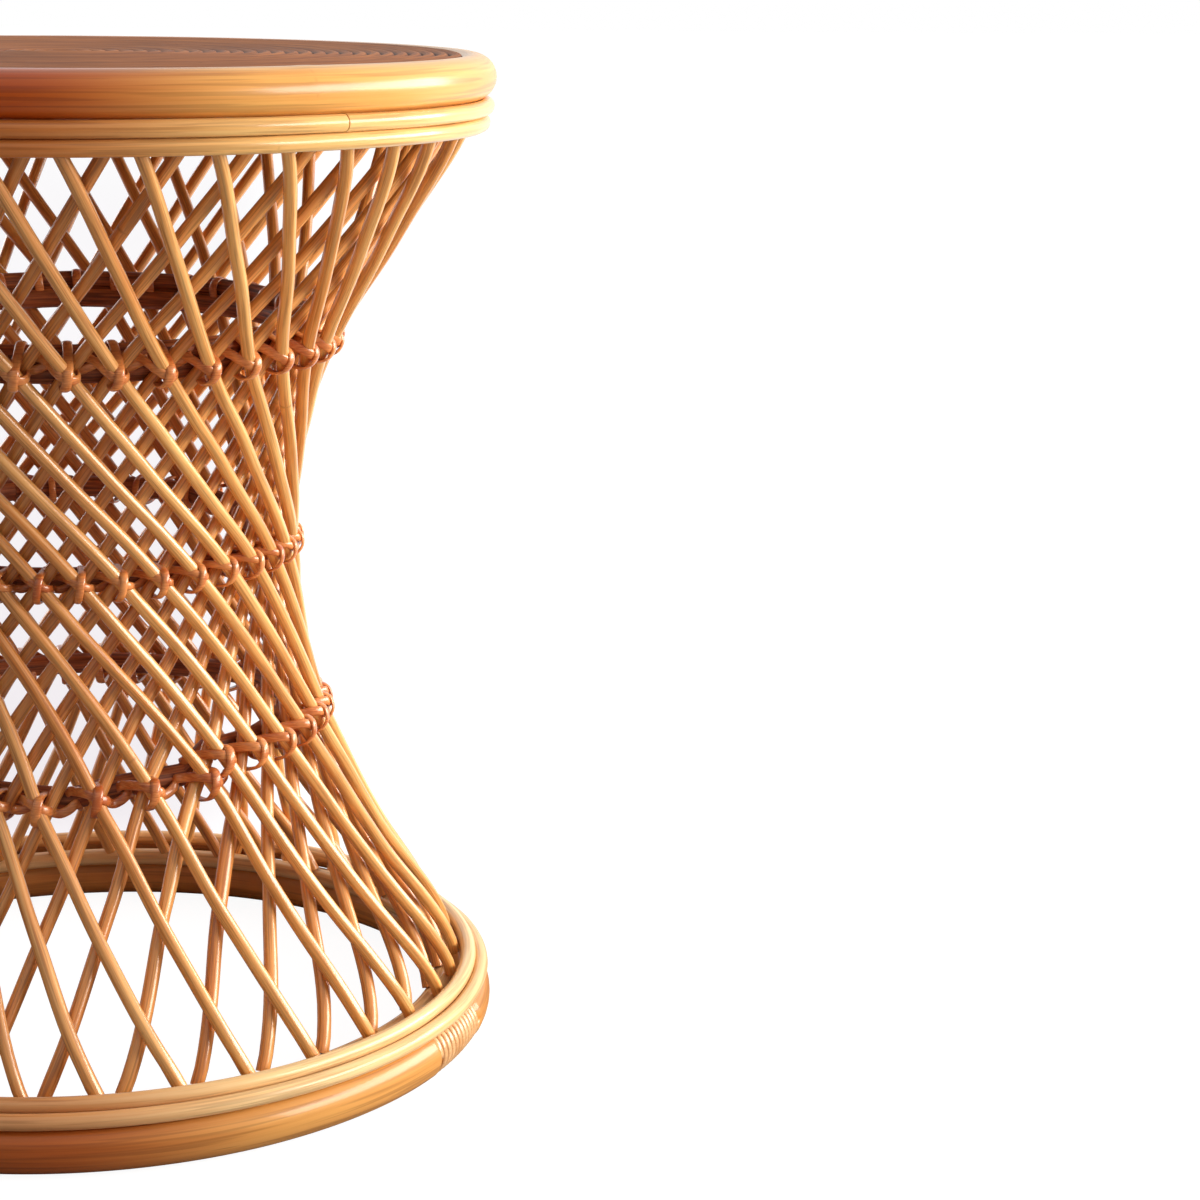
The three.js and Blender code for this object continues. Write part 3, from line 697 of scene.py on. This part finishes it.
# Lashings
# A strip of stained peel ties each outer stake to the inner one and to the hoop: once upright, over both
# stakes and round the hoop, and once across, from the hoop over the outer stake, round it and on to the
# next. The upright turn lies on the other.
peel_widths = {"upper": 0.0042, "waist": 0.0033, "lower": 0.0041}
peel_thickness = 0.0013
peel_clearance = 0.0001
strand_steps = 3


def eased(points, closed):
    """More points between the chosen ones, on a smooth curve through them."""
    count = len(points)
    out = []
    for i in range(count if closed else count - 1):
        if closed:
            a, b, c, d = (points[(i + k - 1) % count] for k in range(4))
        else:
            b, c = points[i], points[i + 1]
            a, d = points[max(i - 1, 0)], points[min(i + 2, count - 1)]
        for step in range(strand_steps):
            t = step / strand_steps
            out.append(0.5 * ((2 * b) + (c - a) * t + (2 * a - 5 * b + 4 * c - d) * t * t
                              + (3 * b - a - 3 * c + d) * t * t * t))
    if not closed:
        out.append(points[-1].copy())
    return out


def strip(points, facing, width, thickness, closed):
    """Corners and faces of a strip of peel, flat inside and crowned outside, along a line of points.

    `facing` gives the strip's way out at a point, from the point's number and the way ahead.
    """
    crown = ((-0.5, -0.5), (0.5, -0.5), (0.5, 0.05), (0.27, 0.42), (0.0, 0.5), (-0.27, 0.42), (-0.5, 0.05))
    count = len(points)
    corners, faces = [], []
    for i, point in enumerate(points):
        before = points[i - 1] if closed or i else point
        after = points[(i + 1) % count] if closed or i < count - 1 else point
        ahead = (after - before).normalized()
        out = facing(i, ahead)
        out = (out - out.dot(ahead) * ahead).normalized()
        side = ahead.cross(out)
        corners += [point + side * (u * width) + out * (v * thickness) for u, v in crown]
    sides = len(crown)
    for i in range(count if closed else count - 1):
        j = (i + 1) % count
        for k in range(sides):
            m = (k + 1) % sides
            faces.append((i * sides + k, i * sides + m, j * sides + m, j * sides + k))
    if not closed:
        faces.append(tuple(reversed(range(sides))))
        faces.append(tuple((count - 1) * sides + k for k in range(sides)))
    return corners, faces


def knot_mesh(name, index, hoop_radius, width):
    """One knot, on the outer stake of turn 0 at a row of crossings."""
    radius, height, _ = outer_stations[index]
    slope = wall_slope(index)
    up = Vector((0, 0, 1))
    over = stake_thickness / 2 + peel_thickness / 2 + peel_clearance
    hoop_depth = (radius - hoop_radius) * math.sqrt(1 / (1 + slope * slope))
    hoop_reach = hoop_thickness / 2 + peel_thickness

    def at(across, rise, depth):
        """A point this far to the right, up the wall and out of it, on the drum's curve."""
        outward = place(1.0, math.degrees(across / radius), 0.0)
        wall_out = (outward - up * slope).normalized()
        wall_up = (up + outward * slope).normalized()
        return outward * radius + up * height + wall_up * rise + wall_out * depth

    lifted = over + peel_thickness
    sunk = 0.0010 - hoop_depth
    climb = (at(0, 0.001, 0) - at(0, 0, 0)).normalized()
    aside = Vector((1, 0, 0))
    # Up over the other turn and the stake, in above the hoop, down behind it and out below, a little slack
    loop = [
        (-0.0002, 0.0, lifted), (0.0002, 0.0030, lifted - 0.0008), (0.0005, 0.0052, lifted - 0.0040),
        (0.0006, 0.0062, -0.0085), (0.0005, hoop_reach, -hoop_depth),
        (0.0003, 0.7 * hoop_reach, -hoop_depth - 0.7 * hoop_reach), (0.0, 0.0, -hoop_depth - hoop_reach),
        (-0.0006, -0.7 * hoop_reach, -hoop_depth - 0.7 * hoop_reach), (-0.0010, -hoop_reach, -hoop_depth),
        (-0.0014, -0.0076, -0.0080), (-0.0014, -0.0070, lifted - 0.0052),
        (-0.0009, -0.0038, lifted - 0.0010),
    ]
    # Out of the hoop, over the stake and down its other side, and on into the hoop again
    wrap = [
        (-0.0156, 0.0012, sunk), (-0.0130, 0.0032, -0.0094), (-0.0105, 0.0034, -0.0076),
        (-0.0082, 0.0033, -0.0042), (-0.0062, 0.0029, -0.0003), (-0.0037, 0.0021, over - 0.0010),
        (-0.0009, 0.0009, over), (0.0018, -0.0002, over - 0.0003), (0.0040, -0.0009, over - 0.0022),
        (0.0050, -0.0012, -0.0012), (0.0047, -0.0014, -0.0048), (0.0056, -0.0020, -0.0074),
        (0.0080, -0.0024, -0.0088), (0.0115, -0.0010, -0.0094), (0.0150, 0.0014, -0.0097),
        (0.0176, 0.0004, sunk),
    ]
    turns = (
        (loop, True, lambda _, ahead: aside.cross(ahead)),
        (wrap, False, lambda _, ahead: ahead.cross(climb)),
    )
    corners, faces = [], []
    for points, closed, facing in turns:
        strand = eased([at(*point) for point in points], closed)
        part_corners, part_faces = strip(strand, facing, width, peel_thickness, closed)
        faces += [tuple(len(corners) + corner for corner in face) for face in part_faces]
        corners += part_corners
    return mesh_of(name, corners, faces=faces)


def knots_tree():
    """Copies of one knot round a row."""
    tree, given = new_tree("knots", ["Start turn", "Pitch", "Unevenness", "Drift"], ["Count", "Seed"],
                           shape=True)
    copies(tree, given, given["Geometry"])
    return tree


def peel(name, pale, deep, roughness):
    """Strips split from the cane's skin, which are glossy, with faint lines and a shade of their own."""
    material, tree = new_material(name)
    where = node(tree, "ShaderNodeTexCoord").outputs["Object"]
    broad = node(tree, "ShaderNodeTexNoise", {"Vector": where, "Scale": 90.0, "Detail": 2.0})
    stretched = node(tree, "ShaderNodeVectorMath", {0: where, 1: (1.0, 1.0, 7.0)}, operation="MULTIPLY")
    fine = node(tree, "ShaderNodeTexNoise", {"Vector": stretched, "Scale": 260.0, "Detail": 2.0})
    both = node(tree, "ShaderNodeMix", {0: 0.5, 2: broad, 3: fine})
    share = node(tree, "ShaderNodeMapRange", {"Value": both, "From Min": 0.36, "From Max": 0.64})
    tint = node(tree, "ShaderNodeAttribute", attribute_name="tint").outputs["Fac"]
    varied = node(tree, "ShaderNodeMath", {0: tint, 1: 0.5, 2: share}, operation="MULTIPLY_ADD")
    colour = node(tree, "ShaderNodeMix", {0: varied, 6: linear(pale), 7: linear(deep)}, data_type="RGBA")
    surface(tree, colour.outputs[2], fine, 0.3, 0.0003, {
        "Roughness": roughness, "IOR": 1.5, "Coat Weight": 0.7, "Coat Roughness": 0.18,
    })
    return material


# Red-brown stain on the skin side, which keeps its gloss
lashing_finish = peel("stained cane peel", "#ea9856", "#b65a26", 0.32)
knots = knots_tree()
for seed, (label, index) in enumerate(hoop_stations.items()):
    hoop_radius = ring_place(label + "_hoop", hoop_thickness)["Radius"]
    lashing = grow(label + "_lashing", knots, {
        "Count": stake_count, "Pitch": stake_pitch, "Start turn": outer_start + outer_stations[index][2],
        "Unevenness": 0.15, "Drift": lattice_drift, "Seed": 11 + seed, "Material": lashing_finish,
    }, knot_mesh(label + "_lashing", index, hoop_radius, peel_widths[label]))
    finished(settle(lashing, row_settled(label, knots=True), own_turns=True),
             "peel", label + "_lashing_front", label + "_lashing_back")

# Coiled top
# Thin stained cane wound flat in a spiral, side by side, from the rim to the middle, with a second short
# length at the heart. The outer loops lie on the rim pole's inner shoulder, nearly up to its crest.
coil_thickness = 0.0062
coil_pitch = 0.0060
coil_loops = 25
coil_edge_room = 0.0030
coil_below_rim = 0.0001
coil_drift_scale = 40.0
lengths_gap = 0.0003
heart_radius = 0.0033
# Painted shade darkens the seams between the loops, up to between these heights over the canes' middle
seam_shade_full, seam_shade_none = 0.0012, 0.0027


def coil_tree():
    """A flat spiral of cane that starts at the front and winds inwards."""
    tree, given = new_tree("flat coil", [
        "Outer radius", "Inner radius", "Loops", "Height", "Thickness", "Drift",
    ], ["Steps", "Sides"])
    spiral = node(tree, "GeometryNodeCurveSpiral", {
        "Resolution": given["Steps"], "Rotations": given["Loops"], "Start Radius": given["Outer radius"],
        "End Radius": given["Inner radius"], "Height": 0.0,
    })
    moved = laid_out(tree, spiral, 0.0, given["Height"], given["Drift"], coil_drift_scale)
    end_tree(tree, tube(tree, moved, given["Thickness"], given["Sides"]), given["Material"])
    return tree


coil_height = cad_box[1][2] - coil_thickness / 2 - coil_below_rim
# Thin cane stained brown and left without varnish, so matt, with painted shade in the seams between the
# loops
coil_finish = cane("stained coil cane", "#b4703e", "#844c2c", "#2a1208", 0.0012, 0.0, node_spacing=0.23,
                   marks=0.3, painted_shade_depth=0.0, roughness=0.62, index=1.33,
                   groove_shade_heights=(coil_height + seam_shade_full, coil_height + seam_shade_none))
coil_outer_radius = ring_place("rim_pole", rim_pole_thickness)["Radius"] - coil_edge_room
coil_inner_radius = coil_outer_radius - coil_loops * coil_pitch
coil_values = {"Height": coil_height, "Thickness": coil_thickness, "Drift": 0.0003, "Sides": 12,
               "Material": coil_finish}
flat_coil = coil_tree()
finished(grow("seat_coil_cane", flat_coil, {
    **coil_values, "Outer radius": coil_outer_radius, "Inner radius": coil_inner_radius,
    "Loops": float(coil_loops), "Steps": 96,
}), "coil_cane", "seat_coil")
finished(grow("seat_centre_coil_cane", flat_coil, {
    **coil_values, "Outer radius": coil_inner_radius - lengths_gap, "Inner radius": heart_radius,
    "Loops": (coil_inner_radius - heart_radius) / coil_pitch, "Steps": 48,
}), "coil_cane", "seat_centre_coil")

# Seat board and nailing ring
# A plywood disc under the coil, and the lath ring nailed inside the stakes that carries it. Both show
# only from below and through the lattice.
plywood, ply_tree = new_material("bare plywood")
ply_place = node(ply_tree, "ShaderNodeTexCoord").outputs["Object"]
# The face veneer's grain runs along X, 25 times as long as it is wide
ply_grain = node(ply_tree, "ShaderNodeVectorMath", {0: ply_place, 1: (0.04, 1.0, 1.0)},
                 operation="MULTIPLY")
ply_lines = node(ply_tree, "ShaderNodeTexNoise", {"Vector": ply_grain, "Scale": 320.0, "Detail": 4.0})
ply_share = node(ply_tree, "ShaderNodeMapRange", {"Value": ply_lines, "From Min": 0.35, "From Max": 0.65})
# Bare plywood is pale, dry and matt
ply_colour = node(ply_tree, "ShaderNodeMix", {0: ply_share, 6: linear("#c9a878"), 7: linear("#a98350")},
                  data_type="RGBA").outputs[2]
surface(ply_tree, ply_colour, ply_lines, 0.3, 0.0003, {"Roughness": 0.8})
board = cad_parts["seat_board"]
board.data.materials.clear()
board.data.materials.append(plywood)
nailing_ring_thickness = 0.010
finished(bend_ring("nailing_ring_lath", ring_place("inner_nailing_ring", nailing_ring_thickness),
                   joint_turn=-20.0, node_spacing=0.4, material=base_band_finish, swell=0.0, wander=0.0,
                   steps=hoop_steps, sides=16), "rim_cane", "inner_nailing_ring")

# Binding of the base joint
# Flat loops of pale varnished peel wound side by side round the planed scarf joint, flush with the pole.
binding_peel_thickness = 0.0014
binding_peel_width = 0.0034
binding_depth = 0.0003
binding_loop_steps = 40


def binding_mesh(name):
    """One strip of peel, wound from one end of the joint to the other."""
    loop_radius = base_pole_thickness / 2 - binding_peel_thickness / 2 - binding_depth
    points, outs = [], []
    for step in range(binding_loops * binding_loop_steps + 1):
        loop = step / binding_loop_steps
        arc = (loop - binding_loops / 2) * binding_pitch / base_ring["Radius"]
        turn = base_joint_turn + math.degrees(arc)
        angle = 2 * math.pi * loop
        out = place(1.0, turn, 0.0) * math.cos(angle) + Vector((0, 0, math.sin(angle)))
        points.append(place(base_ring["Radius"], turn, base_ring["Height"]) + out * loop_radius)
        outs.append(out)
    corners, faces = strip(points, lambda i, _: outs[i], binding_peel_width, binding_peel_thickness,
                           closed=False)
    mesh = mesh_of(name, corners, faces=faces)
    mesh.polygons.foreach_set("use_smooth", [True] * len(mesh.polygons))
    return mesh


binding = placed("base_binding_peel", binding_mesh("base_binding_peel"))
# Varnish alone leaves the skin side pale
binding.data.materials.append(peel("varnished pale peel", "#eec08c", "#d39a62", 0.35))
finished(binding, "binding_peel", "base_joint_binding")

# Floor, lights and camera
# A white table in daylight: one wide window at the right, whose streak shows along each cane, a dim room
# in front, and a faint light from behind for the far side. A pale grey shadow is painted on the table
# behind.
floor_reach = 15.0
floor_drop = 0.0002
# Between which Y the painted shade starts behind the stool, pales further off to a share of it, and ends
shade_start, shade_pales, shade_end = (0.17, 0.32), (0.5, 2.9), (3.5, 9.0)
pale_share = 0.38
# Its right edge runs away to the right of the stool: X at Y 0, step of X for each step of Y, softness
edge_across, edge_slope, edge_softness = 0.094, 0.073, (-0.08, 0.015)


def seen_or_mirrored(tree, share):
    """1 where the camera sees a surface itself, and `share` where gloss or glass shows it."""
    rays = node(tree, "ShaderNodeLightPath").outputs
    bounced = node(tree, "ShaderNodeMath", {0: rays["Is Glossy Ray"], 1: rays["Is Transmission Ray"]},
                   operation="MAXIMUM")
    mirrored = node(tree, "ShaderNodeMath", {0: bounced, 1: share}, operation="MULTIPLY")
    return node(tree, "ShaderNodeMath", {0: rays["Is Camera Ray"], 1: mirrored}, operation="MAXIMUM")


floor = placed("floor", mesh_of("floor", [
    (x * floor_reach, y * floor_reach, 0) for x, y in ((-1, -1), (1, -1), (1, 1), (-1, 1))
], faces=[(0, 1, 2, 3)]))
floor.location.z = -floor_drop
white, floor_tree = new_material("white table")
floor_place = node(floor_tree, "ShaderNodeTexCoord").outputs["Object"]
floor_axes = node(floor_tree, "ShaderNodeSeparateXYZ", {0: floor_place}).outputs
# Painted shadow: a pale grey mixed into the table's glow behind the stool, paling off and ending at the
# right
behind = node(floor_tree, "ShaderNodeMapRange", {
    "Value": floor_axes["Y"], "From Min": shade_start[0], "From Max": shade_start[1],
})
edge = node(floor_tree, "ShaderNodeMath", {0: floor_axes["Y"], 1: -edge_slope, 2: -edge_across},
            operation="MULTIPLY_ADD")
past_edge = node(floor_tree, "ShaderNodeMath", {0: floor_axes["X"], 1: edge})
shade = behind
for across, (full, faded), least in ((floor_axes["Y"], shade_pales, pale_share),
                                     (floor_axes["Y"], shade_end, 0.0), (past_edge, edge_softness, 0.0)):
    part = node(floor_tree, "ShaderNodeMapRange", {
        "Value": across, "From Min": full, "From Max": faded, "To Min": 1.0, "To Max": least,
    })
    shade = node(floor_tree, "ShaderNodeMath", {0: shade, 1: part}, operation="MULTIPLY")
table = node(floor_tree, "ShaderNodeMix", {0: shade, 6: linear("#ffffff"), 7: linear("#e2dde1")},
             data_type="RGBA").outputs[2]
# Gloss shows the white table where it lies, behind the stool, and the dim floor of the room in front
shown = seen_or_mirrored(floor_tree, behind)
looked_at = seen_or_mirrored(floor_tree, 1.0)
cover = node(floor_tree, "ShaderNodeMix", {0: looked_at, 6: linear("#acacae"), 7: linear("#6e6e70")},
             data_type="RGBA").outputs[2]
paint = node(floor_tree, "ShaderNodeBsdfDiffuse", {"Color": cover})
glow_level = node(floor_tree, "ShaderNodeMath", {0: shown, 1: 0.94}, operation="MULTIPLY")
glow = node(floor_tree, "ShaderNodeEmission", {"Color": table, "Strength": glow_level})
floor_sum = node(floor_tree, "ShaderNodeAddShader", {0: paint, 1: glow})
node(floor_tree, "ShaderNodeOutputMaterial", {"Surface": floor_sum})
floor.data.materials.append(white)

world = bpy.data.worlds.new("studio")
bpy.context.scene.world = world
world.use_nodes = True
world_tree = world.node_tree
world_tree.nodes.clear()
# The white backdrop stands behind the stool, so its gloss shows it there and the dim room elsewhere
heading = node(world_tree, "ShaderNodeTexCoord").outputs["Generated"]
heading_axes = node(world_tree, "ShaderNodeSeparateXYZ", {0: heading}).outputs
backdrop = node(world_tree, "ShaderNodeMapRange", {
    "Value": heading_axes["Y"], "From Min": 0.05, "From Max": 0.3,
})
# The ceiling is lighter than the walls
room = node(world_tree, "ShaderNodeMapRange", {
    "Value": heading_axes["Z"], "From Min": 0.0, "From Max": 1.0, "To Min": 0.07, "To Max": 0.75,
})
level = node(world_tree, "ShaderNodeMix", {0: seen_or_mirrored(world_tree, backdrop), 2: room, 3: 1.0})
sky = node(world_tree, "ShaderNodeBackground", {"Color": linear("#ffffff"), "Strength": level})
node(world_tree, "ShaderNodeOutputWorld", {"Surface": sky})
aimed_at = Vector((0, 0, 0.24))


def lamp(name, turn, distance, height, width, tall, watts, colour):
    """A rectangular area lamp at a turn and distance from the stool, aimed at its waist."""
    light = bpy.data.lights.new(name, "AREA")
    light.shape = "RECTANGLE"
    light.size = width
    light.size_y = tall
    light.energy = watts
    light.color = linear(colour)[:3]
    holder = placed(name, light)
    holder.location = place(distance, turn, height)
    holder.visible_camera = False
    holder.rotation_euler = (aimed_at - holder.location).to_track_quat("-Z", "Y").to_euler()


lamp("window_right", turn=82.0, distance=2.2, height=0.80, width=2.7, tall=0.85, watts=96.0,
     colour="#fff6ea")
lamp("far_fill", turn=-140.0, distance=2.5, height=1.1, width=1.6, tall=1.2, watts=22.0, colour="#ffffff")

camera_place = Vector((0.0, -1.2907, 0.4986))
camera_yaw = math.radians(10.731)
camera_pitch = math.radians(13.063)
camera_roll = math.radians(0.636)
camera_data = bpy.data.cameras.new("camera")
camera_data.sensor_width = 36.0
camera_data.lens = 85.09
camera = placed("camera", camera_data)
camera.matrix_world = (Matrix.Translation(camera_place) @ Matrix.Rotation(-camera_yaw, 4, "Z")
                       @ Matrix.Rotation(math.pi / 2 - camera_pitch, 4, "X")
                       @ Matrix.Rotation(camera_roll, 4, "Z"))
bpy.context.scene.camera = camera
bpy.context.scene.view_settings.view_transform = "Standard"
